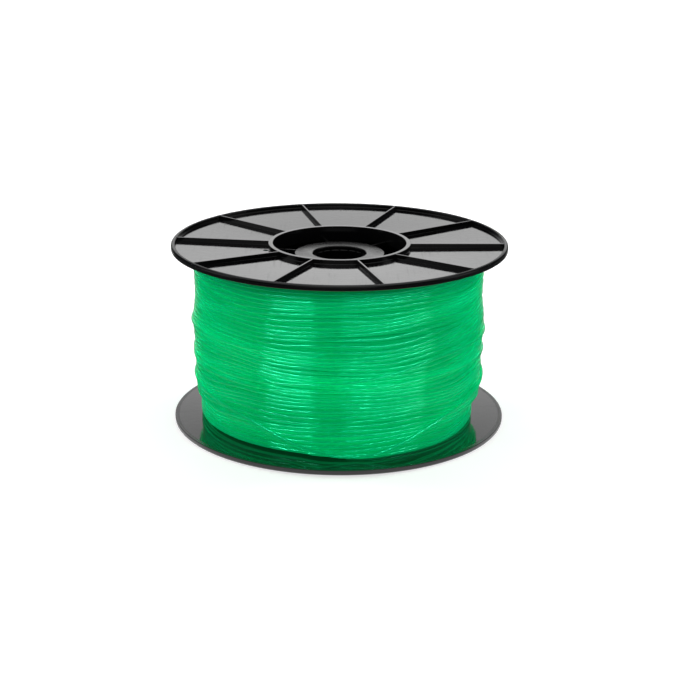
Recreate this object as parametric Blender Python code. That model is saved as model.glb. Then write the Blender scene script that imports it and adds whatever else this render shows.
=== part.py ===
"""A filament spool: two ribbed flanges plugged into a barrel, a spindle tube held in the middle
by two six-armed hub inserts, and the filament wound on the barrel.

Lengths are in metres. The spool stands on one flange with its axis along +Z, and the origin is
in the middle of that flange's underside. What belongs to an end of the spool is drawn by its
depth, the distance in from that end, so that one drawing serves both ends.
"""

import math

import bmesh
import bpy
from mathutils import Matrix, Vector

# Overall size
FLANGE_DIAMETER = 0.200
SPOOL_WIDTH = 0.110

# Flange: a raised rim, a thin plate that dishes in towards the hub, and radial ribs
RIM_DEPTH = 0.0032
RIM_WIDTH = 0.0025
RIM_CHAMFER = 0.0005
PLATE_THICKNESS = 0.0013
PLATE_DISH = 0.0012
RIB_COUNT = 10
RIB_THICKNESS = 0.0013
RIB_SETBACK = 0.0002
SPIGOT_WALL = 0.0013
SPIGOT_LENGTH = 0.0060

# Barrel
HUB_RECESS_DIAMETER = 0.0794
BARREL_WALL = 0.0016
HUB_RING_STEP = 0.0005

# Hub inserts and the spindle tube between them
INSERT_DEPTH = 0.0076
SPINDLE_BORE = 0.0304
SPINDLE_WALL = 0.0023
SPINDLE_LEDGE = 0.0006
COLLAR_WIDTH = 0.0110
COLLAR_THICKNESS = 0.0020
SOCKET_WALL = 0.0020
SOCKET_LENGTH = 0.0160
ARM_COUNT = 6
ARM_THICKNESS = 0.0015
ARM_LENGTH = 0.0160
ARM_SETBACK = 0.0003

# Filament
FILAMENT_DIAMETER = 0.00175
WINDING_SETBACK = 0.0140
SHOULDER_HEIGHT = 0.0090
SHOULDER_SLOPE = 0.0060
SHOULDER_DROP = 0.0045
OUTER_TURNS = 24
END_TURN_GAP = 0.0022
START_HOLE_DIAMETER = 0.0030

# Space left between pieces that touch
FIT_GAP = 0.0003

# Places round the axis in degrees, as seen on the upper end from above
RIB_ANGLE = -3.5
ARM_ANGLE = 44.5
START_HOLE_ANGLE = 194.0
WINDING_START_ANGLE = 100.0

# Facets
FLANGE_FACETS = 72
BARREL_FACETS = 72
HUB_FACETS = 48
HOLE_FACETS = 16
POINTS_PER_TURN = 24
SHARP_EDGE_DEGREES = 30

# Worked out from the sizes above
FLANGE_RADIUS = FLANGE_DIAMETER / 2
RIM_INNER_RADIUS = FLANGE_RADIUS - RIM_WIDTH
RECESS_RADIUS = HUB_RECESS_DIAMETER / 2
SPIGOT_RADIUS = RECESS_RADIUS + SPIGOT_WALL
BARREL_BORE_RADIUS = SPIGOT_RADIUS + FIT_GAP
BARREL_RADIUS = BARREL_BORE_RADIUS + BARREL_WALL
HUB_RING_RADIUS = BARREL_RADIUS - HUB_RING_STEP
HUB_RING_DEPTH = PLATE_DISH
COLLAR_BORE_RADIUS = SPINDLE_BORE / 2 + SPINDLE_LEDGE
COLLAR_RADIUS = COLLAR_BORE_RADIUS + COLLAR_WIDTH
COLLAR_BACK_DEPTH = INSERT_DEPTH + COLLAR_THICKNESS
SPINDLE_RADIUS = SPINDLE_BORE / 2 + SPINDLE_WALL
SOCKET_BORE_RADIUS = SPINDLE_RADIUS + FIT_GAP
SOCKET_RADIUS = SOCKET_BORE_RADIUS + SOCKET_WALL
START_HOLE_PLACE = BARREL_RADIUS + FIT_GAP + START_HOLE_DIAMETER / 2
FILAMENT_RADIUS = FILAMENT_DIAMETER / 2
TURN_RADIUS = FLANGE_RADIUS - WINDING_SETBACK - FILAMENT_RADIUS
STRAIGHT_MIDDLE_RADIUS = TURN_RADIUS * math.cos(math.pi / POINTS_PER_TURN)
LAYERS_REACH = min(TURN_RADIUS - FILAMENT_DIAMETER, STRAIGHT_MIDDLE_RADIUS - FILAMENT_RADIUS)
LAYERS_RADIUS = LAYERS_REACH - FIT_GAP
LAYERS_BORE_RADIUS = BARREL_RADIUS + FIT_GAP


def plate_drop(radius):
    """How much deeper the dished plate lies at a radius than at the rim."""
    share = (RIM_INNER_RADIUS - radius) / (RIM_INNER_RADIUS - HUB_RING_RADIUS)
    return PLATE_DISH * min(max(share, 0.0), 1.0)


def floor_depth(radius):
    """Depth of the pocket floor, which is the plate's outer side."""
    return RIM_DEPTH - PLATE_THICKNESS + plate_drop(radius)


def inner_depth(radius):
    """Depth of the plate's inner side, which holds the winding in."""
    return RIM_DEPTH + plate_drop(radius)


SPIGOT_END_DEPTH = inner_depth(SPIGOT_RADIUS) + SPIGOT_LENGTH
SHOULDER_START = inner_depth(TURN_RADIUS) + SHOULDER_HEIGHT


def shoulder_drop(height):
    """How much smaller the winding is at a height. Its last layers stop short of the lower
    flange, and leave a low shoulder there."""
    share = (SHOULDER_START + SHOULDER_SLOPE - height) / SHOULDER_SLOPE
    return SHOULDER_DROP * min(max(share, 0.0), 1.0)


def layers_radius(height):
    """Radius of the inner layers. Their slope lies one strand above the outer layer's."""
    return LAYERS_RADIUS - shoulder_drop(height - FILAMENT_DIAMETER)


def clear_scene():
    for old in list(bpy.data.objects):
        bpy.data.objects.remove(old, do_unlink=True)


def plastic(name, color, roughness, transmission=0.0):
    material = bpy.data.materials.new(name)
    material.use_nodes = True
    shader = material.node_tree.nodes["Principled BSDF"]
    shader.inputs["Base Color"].default_value = (*color, 1.0)
    shader.inputs["Metallic"].default_value = 0.0
    shader.inputs["Roughness"].default_value = roughness
    shader.inputs["Transmission Weight"].default_value = transmission
    material.diffuse_color = (*color, 1.0)
    return material


def finish(obj, material):
    """Gives a turned piece its material, and shades its round sides smooth."""
    obj.data.materials.clear()
    obj.data.materials.append(material)
    obj.data.shade_smooth()
    obj.data.set_sharp_from_angle(angle=math.radians(SHARP_EDGE_DEGREES))
    return obj


def object_from(name, builder):
    """An object made from a bmesh, with its faces turned outwards."""
    bmesh.ops.recalc_face_normals(builder, faces=builder.faces)
    mesh = bpy.data.meshes.new(name)
    builder.to_mesh(mesh)
    builder.free()
    obj = bpy.data.objects.new(name, mesh)
    bpy.context.scene.collection.objects.link(obj)
    return obj


def turned(name, outline, facets):
    """A closed outline of (radius, height) points, spun once round the axis."""
    builder = bmesh.new()
    corners = [builder.verts.new((radius, 0.0, height)) for radius, height in outline]
    sides = [builder.edges.new((corners[i - 1], corners[i])) for i in range(len(corners))]
    bmesh.ops.spin(
        builder,
        geom=corners + sides,
        cent=(0, 0, 0),
        axis=(0, 0, 1),
        angle=math.tau,
        steps=facets,
        use_merge=True,
    )
    return object_from(name, builder)


def radial_bars(name, outline, thickness, count, first_angle):
    """Flat bars that stand on edge, spread evenly round the axis. The outline is a bar's side
    view in (radius, height) points."""
    builder = bmesh.new()
    for i in range(count):
        corners = [builder.verts.new((radius, -thickness / 2, height)) for radius, height in outline]
        side = builder.faces.new(corners)
        extruded = bmesh.ops.extrude_face_region(builder, geom=[side])["geom"]
        far_corners = [part for part in extruded if isinstance(part, bmesh.types.BMVert)]
        bmesh.ops.translate(builder, verts=far_corners, vec=(0, thickness, 0))
        turn = Matrix.Rotation(math.radians(first_angle) + math.tau * i / count, 4, "Z")
        bmesh.ops.transform(builder, matrix=turn, verts=corners + far_corners)
    return object_from(name, builder)


def combine(body, tool, operation):
    """Joins the tool to the body or cuts it away, and then removes the tool."""
    modifier = body.modifiers.new(tool.name, "BOOLEAN")
    modifier.operation = operation
    modifier.solver = "EXACT"
    modifier.object = tool
    graph = bpy.context.evaluated_depsgraph_get()
    body.data = bpy.data.meshes.new_from_object(body.evaluated_get(graph))
    body.modifiers.clear()
    bpy.data.objects.remove(tool, do_unlink=True)


def drawn_angle(degrees):
    """An end is drawn facing down, so what is seen on the upper end from above is drawn the
    other way round."""
    return -degrees


def flange_outline():
    """Half section of a flange: rim, pocket, hub ring, spigot and the plate's inner side."""
    return [
        (FLANGE_RADIUS, RIM_DEPTH - RIM_CHAMFER),
        (FLANGE_RADIUS, RIM_CHAMFER),
        (FLANGE_RADIUS - RIM_CHAMFER, 0.0),
        (RIM_INNER_RADIUS, 0.0),
        (RIM_INNER_RADIUS, floor_depth(RIM_INNER_RADIUS)),
        (HUB_RING_RADIUS, floor_depth(HUB_RING_RADIUS)),
        (HUB_RING_RADIUS, HUB_RING_DEPTH),
        (RECESS_RADIUS, HUB_RING_DEPTH),
        (RECESS_RADIUS, SPIGOT_END_DEPTH),
        (SPIGOT_RADIUS, SPIGOT_END_DEPTH),
        (SPIGOT_RADIUS, inner_depth(SPIGOT_RADIUS)),
        (HUB_RING_RADIUS, inner_depth(HUB_RING_RADIUS)),
        (RIM_INNER_RADIUS, inner_depth(RIM_INNER_RADIUS)),
        (FLANGE_RADIUS - RIM_CHAMFER, RIM_DEPTH),
    ]


def rib_outline():
    """Side view of a rib. Its foot is sunk in the plate, and its ends in the rim and ring."""
    inner_end = (RECESS_RADIUS + HUB_RING_RADIUS) / 2
    outer_end = (RIM_INNER_RADIUS + FLANGE_RADIUS) / 2
    return [
        (inner_end, HUB_RING_DEPTH + RIB_SETBACK),
        (outer_end, RIB_SETBACK),
        (outer_end, floor_depth(outer_end) + PLATE_THICKNESS / 2),
        (inner_end, floor_depth(inner_end) + PLATE_THICKNESS / 2),
    ]


def start_hole_drill(name):
    """The hole beside the barrel, through which the filament's inner end is held."""
    builder = bmesh.new()
    bmesh.ops.create_cone(
        builder,
        cap_ends=True,
        segments=HOLE_FACETS,
        radius1=START_HOLE_DIAMETER / 2,
        radius2=START_HOLE_DIAMETER / 2,
        depth=RIM_DEPTH * 4,
    )
    angle = math.radians(drawn_angle(START_HOLE_ANGLE))
    place = Vector((math.cos(angle), math.sin(angle), 0)) * START_HOLE_PLACE
    bmesh.ops.translate(builder, verts=builder.verts, vec=place)
    return object_from(name, builder)


def make_flange(name):
    """A flange, drawn rim down on the origin."""
    flange = turned(name, flange_outline(), FLANGE_FACETS)
    ribs = radial_bars(
        name + "_ribs", rib_outline(), RIB_THICKNESS, RIB_COUNT, drawn_angle(RIB_ANGLE)
    )
    combine(flange, ribs, "UNION")
    combine(flange, start_hole_drill(name + "_start_hole"), "DIFFERENCE")
    return flange


def insert_outline():
    """Half section of a hub insert: the collar that shows in the recess, and the socket behind
    it that the spindle tube plugs into."""
    socket_end = COLLAR_BACK_DEPTH + SOCKET_LENGTH
    return [
        (COLLAR_BORE_RADIUS, INSERT_DEPTH),
        (COLLAR_BORE_RADIUS, COLLAR_BACK_DEPTH),
        (SOCKET_BORE_RADIUS, COLLAR_BACK_DEPTH),
        (SOCKET_BORE_RADIUS, socket_end),
        (SOCKET_RADIUS, socket_end),
        (SOCKET_RADIUS, COLLAR_BACK_DEPTH),
        (COLLAR_RADIUS, COLLAR_BACK_DEPTH),
        (COLLAR_RADIUS, INSERT_DEPTH),
    ]


def arm_outline():
    """Side view of an arm. It clears the spigot, then steps out under the spigot's end, which
    keeps the insert in, and bears on the barrel."""
    root = (SOCKET_BORE_RADIUS + SOCKET_RADIUS) / 2
    top = INSERT_DEPTH + ARM_SETBACK
    step = SPIGOT_END_DEPTH + FIT_GAP
    foot = INSERT_DEPTH + ARM_LENGTH
    return [
        (root, top),
        (RECESS_RADIUS - FIT_GAP, top),
        (RECESS_RADIUS - FIT_GAP, step),
        (BARREL_BORE_RADIUS - FIT_GAP, step),
        (BARREL_BORE_RADIUS - FIT_GAP, foot),
        (root, foot),
    ]


def make_hub_insert(name):
    """A hub insert, drawn with its collar facing down towards the origin."""
    insert = turned(name, insert_outline(), HUB_FACETS)
    arms = radial_bars(
        name + "_arms", arm_outline(), ARM_THICKNESS, ARM_COUNT, drawn_angle(ARM_ANGLE)
    )
    combine(insert, arms, "UNION")
    return insert


def make_both_ends(make, lower_name, upper_name, material):
    """The same moulding at both ends. It is drawn for the lower end, and the upper one is
    turned over about the X axis."""
    lower = finish(make(lower_name), material)
    upper = bpy.data.objects.new(upper_name, lower.data.copy())
    bpy.context.scene.collection.objects.link(upper)
    upper.location = (0, 0, SPOOL_WIDTH)
    upper.rotation_euler = (math.pi, 0, 0)


def make_tube(name, bore_radius, outer_radius, end_depth, facets, material):
    """A plain tube on the axis, as far from one end of the spool as from the other."""
    outline = [
        (bore_radius, end_depth),
        (bore_radius, SPOOL_WIDTH - end_depth),
        (outer_radius, SPOOL_WIDTH - end_depth),
        (outer_radius, end_depth),
    ]
    finish(turned(name, outline, facets), material)


def make_inner_layers(material):
    """All the layers under the outermost one, as a plain ring that follows the dished plates
    and has the winding's low shoulder."""
    bore_depth = inner_depth(LAYERS_BORE_RADIUS) + FIT_GAP
    edge_depth = inner_depth(LAYERS_RADIUS) + FIT_GAP
    low_radius = LAYERS_RADIUS - SHOULDER_DROP
    slope_start = SHOULDER_START + FILAMENT_DIAMETER
    outline = [
        (LAYERS_BORE_RADIUS, bore_depth),
        (LAYERS_BORE_RADIUS, SPOOL_WIDTH - bore_depth),
        (LAYERS_RADIUS, SPOOL_WIDTH - edge_depth),
        (LAYERS_RADIUS, slope_start + SHOULDER_SLOPE),
        (low_radius, slope_start),
        (low_radius, inner_depth(low_radius) + FIT_GAP),
    ]
    finish(turned("filament_inner_layers", outline, BARREL_FACETS), material)


def winding_route():
    """Middle line of the outermost layer: a helix from flange to flange, drawn in over the low
    shoulder. Its ends turn in, square to the layers below, and stop just short of them."""
    first_height = inner_depth(TURN_RADIUS) + END_TURN_GAP + FILAMENT_RADIUS
    climb_per_turn = (SPOOL_WIDTH - 2 * first_height) / OUTER_TURNS
    start = math.radians(WINDING_START_ANGLE)

    def place(turns, radius):
        angle = start + math.tau * turns
        return Vector((radius * math.cos(angle), radius * math.sin(angle), height_after(turns)))

    def height_after(turns):
        return first_height + climb_per_turn * turns

    def on_top(turns):
        return place(turns, TURN_RADIUS - shoulder_drop(height_after(turns)))

    def tip(turns):
        return place(turns, layers_radius(height_after(turns)) + FIT_GAP)

    steps = OUTER_TURNS * POINTS_PER_TURN
    helix = [on_top(i / POINTS_PER_TURN) for i in range(steps + 1)]
    return [tip(0), *helix, tip(OUTER_TURNS)]


def least_gap(route):
    """Least gap between one turn of the filament and the next, measured on its points."""
    near_a_turn = range(POINTS_PER_TURN - 2, POINTS_PER_TURN + 3)
    pairs = [(i, i + ahead) for i in range(len(route)) for ahead in near_a_turn]
    distances = [(route[i] - route[j]).length for i, j in pairs if j < len(route)]
    return min(distances) - FILAMENT_DIAMETER


def make_outer_layer(material):
    name = "filament_outer_layer"
    route = winding_route()
    curve = bpy.data.curves.new(name, "CURVE")
    curve.dimensions = "3D"
    spline = curve.splines.new("POLY")
    spline.points.add(len(route) - 1)
    for point, place in zip(spline.points, route):
        point.co = (*place, 1.0)
    curve.bevel_depth = FILAMENT_RADIUS
    curve.bevel_resolution = 1
    curve.use_fill_caps = True
    curve.materials.append(material)
    bpy.context.scene.collection.objects.link(bpy.data.objects.new(name, curve))
    length = sum((b - a).length for a, b in zip(route, route[1:]))
    print(f"{name}: {length:.2f} m, least gap between turns {least_gap(route) * 1000:.2f} mm")


def build():
    clear_scene()
    black = plastic("black_plastic", (0.012, 0.012, 0.013), 0.22)
    green = plastic("green_filament", (0.0, 0.42, 0.12), 0.25, transmission=0.15)
    make_both_ends(make_flange, "lower_flange", "upper_flange", black)
    make_both_ends(make_hub_insert, "lower_hub_insert", "upper_hub_insert", black)
    barrel_depth = inner_depth(SPIGOT_RADIUS) + FIT_GAP
    make_tube("barrel", BARREL_BORE_RADIUS, BARREL_RADIUS, barrel_depth, BARREL_FACETS, black)
    spindle_depth = COLLAR_BACK_DEPTH + FIT_GAP
    make_tube("spindle_tube", SPINDLE_BORE / 2, SPINDLE_RADIUS, spindle_depth, HUB_FACETS, black)
    make_inner_layers(green)
    make_outer_layer(green)


build()
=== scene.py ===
# %% [markdown]
# # A spool of green filament
#
# The spool stands on one flange. Two glossy black flanges, each stiffened by ten ribs, close
# the ends of a barrel, and translucent green filament is wound between them. This lesson makes
# the finish of every piece around a fixed frame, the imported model, which gives the places and
# sizes that the pieces must keep. Lengths are in metres.

# %% Load the frame
import math

import bpy
import numpy as np
from mathutils import Matrix, Vector


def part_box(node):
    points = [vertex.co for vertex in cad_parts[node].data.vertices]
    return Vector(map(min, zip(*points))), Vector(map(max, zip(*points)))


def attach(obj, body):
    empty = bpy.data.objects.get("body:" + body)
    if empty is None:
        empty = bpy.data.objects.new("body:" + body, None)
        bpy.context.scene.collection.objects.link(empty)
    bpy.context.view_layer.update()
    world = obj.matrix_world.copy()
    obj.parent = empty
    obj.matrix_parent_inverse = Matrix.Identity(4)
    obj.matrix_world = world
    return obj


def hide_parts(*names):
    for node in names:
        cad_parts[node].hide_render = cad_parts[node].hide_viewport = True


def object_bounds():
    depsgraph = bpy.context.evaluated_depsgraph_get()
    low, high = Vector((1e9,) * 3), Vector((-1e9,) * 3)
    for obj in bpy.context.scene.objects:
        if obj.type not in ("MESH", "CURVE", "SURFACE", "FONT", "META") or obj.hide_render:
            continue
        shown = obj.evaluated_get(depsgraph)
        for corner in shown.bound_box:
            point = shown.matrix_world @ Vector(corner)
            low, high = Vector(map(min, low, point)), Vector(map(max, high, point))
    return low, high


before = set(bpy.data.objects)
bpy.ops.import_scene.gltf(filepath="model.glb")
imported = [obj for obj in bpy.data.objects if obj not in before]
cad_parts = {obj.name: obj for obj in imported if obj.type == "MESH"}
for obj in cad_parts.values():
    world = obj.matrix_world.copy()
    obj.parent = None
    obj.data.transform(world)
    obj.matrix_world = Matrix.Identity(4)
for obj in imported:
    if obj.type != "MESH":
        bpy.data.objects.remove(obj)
cad_low, cad_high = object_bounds()
print("frame:", sorted(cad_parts))

# %% [markdown]
# ## Sizes
#
# The outer sizes are read from the frame, so a new frame moves everything. A moulder also needs
# what the frame's boxes can't say: how deep and wide the rim is, how thick the plate is and how
# far it dishes. What several pieces share is written here, and the rest where it is first
# needed. Both ends of the spool are the same, so the pieces of an end are drawn by their depth:
# the distance in from that end.

# %% Sizes that the pieces share
MM = 0.001
SPOOL_WIDTH = cad_high[2] - cad_low[2]
FLANGE_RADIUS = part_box("lower_flange")[1][0]
BARREL_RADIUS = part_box("barrel")[1][0]
SPINDLE_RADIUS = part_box("spindle_tube")[1][0]
FIT_GAP = 0.3 * MM

RIM_DEPTH = 3.2 * MM
RIM_WIDTH = 2.5 * MM
RIM_INNER_RADIUS = FLANGE_RADIUS - RIM_WIDTH
HUB_RING_INSET = 0.5 * MM
HUB_RING_RADIUS = BARREL_RADIUS - HUB_RING_INSET
RECESS_RADIUS = 39.7 * MM
PLATE_THICKNESS = 0.8 * MM
PLATE_DISH = 1.2 * MM
PLATE_THINNING = 0.2 * MM


def plate_drop(radius):
    """How much deeper the dished plate lies at a radius than at the rim."""
    share = (RIM_INNER_RADIUS - radius) / (RIM_INNER_RADIUS - HUB_RING_RADIUS)
    return PLATE_DISH * min(max(share, 0.0), 1.0)


def floor_depth(radius):
    """Depth of the pocket floors, the plate's outer side."""
    thinning = PLATE_THINNING * plate_drop(radius) / PLATE_DISH
    return RIM_DEPTH - PLATE_THICKNESS + plate_drop(radius) + thinning


def inner_depth(radius):
    """Depth of the plate's inner side, which holds the winding in."""
    return RIM_DEPTH + plate_drop(radius)


print(f"spool {2000 * FLANGE_RADIUS:.1f} mm across, {1000 * SPOOL_WIDTH:.1f} mm wide")

# %% [markdown]
# ## The camera
#
# The photograph was taken from a little above, with a long lens. The view could be matched by
# eye, but a pinhole camera fitted to the ellipses of the two flanges comes closer. It gives
# these values, in metres and radians, and millimetres for the lens. Yaw, pitch and roll are the
# small amounts by which the real camera's aim was off.

# %% Camera
CAMERA_TARGET = Vector((0.0, 0.0, 0.050))
CAMERA_DISTANCE = 0.96707
CAMERA_ELEVATION = 0.3078
CAMERA_YAW = -0.0006
CAMERA_PITCH = -0.0024
CAMERA_ROLL = 0.0055
CAMERA_LENS = 84.41
SENSOR_WIDTH = 36.0

away = Vector((0.0, -math.cos(CAMERA_ELEVATION), math.sin(CAMERA_ELEVATION)))
aim = (
    Matrix.Rotation(math.pi / 2 - CAMERA_ELEVATION, 3, "X")
    @ Matrix.Rotation(CAMERA_YAW, 3, "Y")
    @ Matrix.Rotation(CAMERA_PITCH, 3, "X")
    @ Matrix.Rotation(CAMERA_ROLL, 3, "Z")
)
bpy.ops.object.camera_add(
    location=CAMERA_TARGET + away * CAMERA_DISTANCE, rotation=aim.to_euler()
)
camera = bpy.context.object
camera.data.lens = CAMERA_LENS
camera.data.sensor_width = SENSOR_WIDTH
bpy.context.scene.camera = camera
print("camera at", [round(c, 4) for c in camera.location])

# %% [markdown]
# ## Drawing a section
#
# Every moulding starts as a drawn section. Boxes and cylinders could be pushed into shape, but a
# section shows the whole form at once. It is drawn as by hand: one vertex is placed, extruded
# from point to point, and the last one is joined to the first. A moulded edge is never sharp, so
# a corner of a section can carry a radius, and an arc takes its place.

# %% Selection and drawing helpers
ARC_STEPS = 4


def only(obj):
    """Makes this object the one that is selected and active."""
    bpy.ops.object.select_all(action="DESELECT")
    obj.select_set(True)
    bpy.context.view_layer.objects.active = obj
    return obj


def rounded(outline):
    """Outline points (a, b, radius), with an arc in place of each corner that has a radius."""
    points = []
    for i, (a, b, radius) in enumerate(outline):
        corner = Vector((a, b))
        if not radius:
            points.append(corner)
            continue
        back = (Vector(outline[i - 1][:2]) - corner).normalized()
        ahead = (Vector(outline[(i + 1) % len(outline)][:2]) - corner).normalized()
        half = back.angle(ahead) / 2
        centre = corner + (back + ahead).normalized() * radius / math.sin(half)
        start = corner + back * radius / math.tan(half) - centre
        end = corner + ahead * radius / math.tan(half) - centre
        sweep = start.angle_signed(end)
        for step in range(ARC_STEPS + 1):
            turn = Matrix.Rotation(-sweep * step / ARC_STEPS, 2)
            points.append(centre + turn @ start)
    return points


def draw_outline(name, points):
    """Draws a closed outline through 3D points: one vertex extruded from point to point."""
    bpy.ops.object.select_all(action="DESELECT")
    bpy.ops.mesh.primitive_plane_add(size=MM, location=points[0])
    obj = bpy.context.object
    obj.name = name
    bpy.ops.object.mode_set(mode="EDIT")
    bpy.ops.mesh.select_all(action="SELECT")
    bpy.ops.mesh.merge(type="CENTER")
    for before, after in zip(points, points[1:]):
        step = Vector(after) - Vector(before)
        bpy.ops.mesh.extrude_vertices_move(TRANSFORM_OT_translate={"value": step})
    bpy.ops.object.mode_set(mode="OBJECT")
    bpy.ops.object.transform_apply(location=True, rotation=True, scale=True)
    last = len(obj.data.vertices) - 1
    select_points(obj, lambda vertex: vertex.index in (0, last))
    bpy.ops.mesh.edge_face_add()
    bpy.ops.object.mode_set(mode="OBJECT")
    return obj


def select_points(obj, wanted):
    """Opens edit mode with only the wanted vertices selected."""
    only(obj)
    bpy.context.tool_settings.mesh_select_mode = (True, False, False)
    for part in (*obj.data.polygons, *obj.data.edges):
        part.select = False
    for vertex in obj.data.vertices:
        vertex.select = wanted(vertex)
    bpy.ops.object.mode_set(mode="EDIT")


# %% [markdown]
# ## From a section to a solid
#
# Nearly every moulding here is round, so most of them are turned: half of the section is drawn
# beside the axis and spun once round it. A Screw modifier would do the same. The Spin tool
# leaves a plain mesh, which can be joined and cut at once. Ribs, arms and cutters are straight,
# so their section is filled and pulled along. Both leave doubled points or faces that point
# inwards, which are set right at once.

# %% Spinning and pulling
MERGE_DISTANCE = 0.001 * MM


def tidy_shell():
    """In edit mode: merges doubles, and turns all faces outwards."""
    bpy.ops.mesh.select_all(action="SELECT")
    bpy.ops.mesh.remove_doubles(threshold=MERGE_DISTANCE)
    bpy.ops.mesh.normals_make_consistent(inside=False)
    bpy.ops.object.mode_set(mode="OBJECT")


def spin_section(name, section, steps):
    """A turned piece: section points (radius, height, corner radius), spun once round Z."""
    points = [(radius, 0.0, height) for radius, height in rounded(section)]
    obj = only(draw_outline(name, points))
    bpy.ops.object.mode_set(mode="EDIT")
    bpy.ops.mesh.select_all(action="SELECT")
    bpy.ops.mesh.spin(steps=steps, angle=math.tau, center=(0, 0, 0), axis=(0, 0, 1))
    tidy_shell()
    return obj


def extruded(name, points, move):
    """A bar: the outline through 3D points, filled and pulled along."""
    only(draw_outline(name, points))
    bpy.ops.object.mode_set(mode="EDIT")
    bpy.ops.mesh.select_all(action="SELECT")
    bpy.ops.mesh.edge_face_add()
    bpy.ops.mesh.extrude_region_move(TRANSFORM_OT_translate={"value": move})
    tidy_shell()
    return bpy.context.object


# %% [markdown]
# ## Joining, cutting and copying
#
# Ribs on a plate could simply stand in it, but the real moulding is one piece. So a Boolean
# modifier joins them, or cuts a hole, and is applied at once, which leaves one closed mesh. What
# repeats is modelled once and copied round the axis. Smooth shading stops at edges sharper than
# 35 degrees, and the Weighted Normal modifier keeps large faces flat where they meet a small
# fillet, because a glossy surface would show the slightest bend.

# %% Joining helpers
SHARP_ANGLE = math.radians(35)


def boolean(body, tool, operation):
    """Joins the tool to the body or cuts it away, and removes the tool."""
    only(body)
    modifier = body.modifiers.new("joint", "BOOLEAN")
    modifier.operation = operation
    modifier.solver = "EXACT"
    modifier.object = tool
    bpy.ops.object.modifier_apply(modifier=modifier.name)
    bpy.data.objects.remove(tool, do_unlink=True)


def copied(obj, name):
    """A copy of a piece, with a mesh of its own."""
    only(obj)
    bpy.ops.object.duplicate()
    twin = bpy.context.object
    twin.name = name
    return twin


def spread_round(obj, count, first_angle):
    """Copies a piece evenly round the axis and joins the copies into one object."""
    copies = [obj] + [copied(obj, obj.name) for _ in range(count - 1)]
    for i, piece in enumerate(copies):
        piece.rotation_euler.z = math.radians(first_angle) + math.tau * i / count
    bpy.ops.object.select_all(action="DESELECT")
    for piece in copies:
        piece.select_set(True)
    bpy.context.view_layer.objects.active = obj
    bpy.ops.object.join()
    bpy.ops.object.transform_apply(location=True, rotation=True, scale=True)
    return obj


def smoothed(obj):
    """Smooth shading that stops at sharp edges and keeps large faces flat."""
    only(obj)
    bpy.ops.object.shade_smooth_by_angle(angle=SHARP_ANGLE)
    modifier = obj.modifiers.new("flat_faces", "WEIGHTED_NORMAL")
    modifier.keep_sharp = True
    bpy.ops.object.modifier_apply(modifier=modifier.name)
    return obj


def at_other_end(obj, name):
    """The same moulding at the upper end: a copy, turned over about the X axis."""
    twin = copied(obj, name)
    twin.location = (0, 0, SPOOL_WIDTH)
    twin.rotation_euler = (math.pi, 0, 0)
    bpy.ops.object.transform_apply(location=True, rotation=True, scale=True)
    return twin


def report(obj):
    """Prints a piece's number of faces and its size."""
    faces = len(obj.data.polygons)
    size = [round(side * 1000, 1) for side in obj.dimensions]
    print(f"{obj.name}: {faces} faces, {size} mm")


# %% [markdown]
# ## The flanges
#
# A flange is one injection moulding. Its rim is rounded over, its plate is thin and dishes in
# towards the hub, a raised ring borders the hub recess, and a spigot plugs into the barrel. It
# could be a cylinder that is inset and pushed in step by step, but a section that is spun shows
# the whole shape at once, and its fillets come from the same drawing. The section is drawn for
# the lower end.

# %% Flange body
FLANGE_STEPS = 240
SOFT_EDGE = 0.3 * MM
FILLET = 0.35 * MM
RIM_OUTER_ROUNDING = 1.5 * MM
RIM_INNER_ROUNDING = 0.9 * MM
SPIGOT_RADIUS = 41.0 * MM
SPIGOT_LENGTH = 6.0 * MM

spigot_end = inner_depth(RECESS_RADIUS) + SPIGOT_LENGTH
flange_section = [
    (FLANGE_RADIUS, RIM_DEPTH, SOFT_EDGE),
    (FLANGE_RADIUS, 0.0, RIM_OUTER_ROUNDING),
    (RIM_INNER_RADIUS, 0.0, RIM_INNER_ROUNDING),
    (RIM_INNER_RADIUS, floor_depth(RIM_INNER_RADIUS), FILLET),
    (HUB_RING_RADIUS, floor_depth(HUB_RING_RADIUS), FILLET),
    (HUB_RING_RADIUS, PLATE_DISH, SOFT_EDGE),
    (RECESS_RADIUS, PLATE_DISH, SOFT_EDGE),
    (RECESS_RADIUS, spigot_end, SOFT_EDGE),
    (SPIGOT_RADIUS, spigot_end, SOFT_EDGE),
    (SPIGOT_RADIUS, inner_depth(SPIGOT_RADIUS), FILLET),
    (HUB_RING_RADIUS, inner_depth(HUB_RING_RADIUS), 0.0),
    (RIM_INNER_RADIUS, inner_depth(RIM_INNER_RADIUS), 0.0),
]
lower_flange = spin_section("lower_flange_moulding", flange_section, FLANGE_STEPS)
report(lower_flange)

# %% [markdown]
# ## The ribs
#
# Ten ribs keep the thin plate flat. A scaled cube could stand for a rib, but would meet the
# plate at a sharp corner. So a rib is a bar whose section is drawn across it: a wide foot that
# flares into the plate, sides with a little draft so that the moulding leaves its tool, and a
# rounded top. The bar follows the dish of the plate, and its ends are sunk in the hub ring and
# the rim. Angles are measured at the upper end, as seen from above. The moulding drawn here is
# turned over for that end, which flips their sign.

# %% Ribs
RIB_COUNT = 10
RIB_ANGLE = -3.5
RIB_THICKNESS = 1.3 * MM
RIB_DRAFT = 0.06 * MM
RIB_SETBACK = 0.1 * MM
RIB_TOP_ROUNDING = 0.28 * MM
RIB_FOOT_SINK = 0.6 * MM
RIB_FOOT_FLARE = 0.4 * MM
RIB_FOOT_OFFSET = 0.03 * MM

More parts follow.
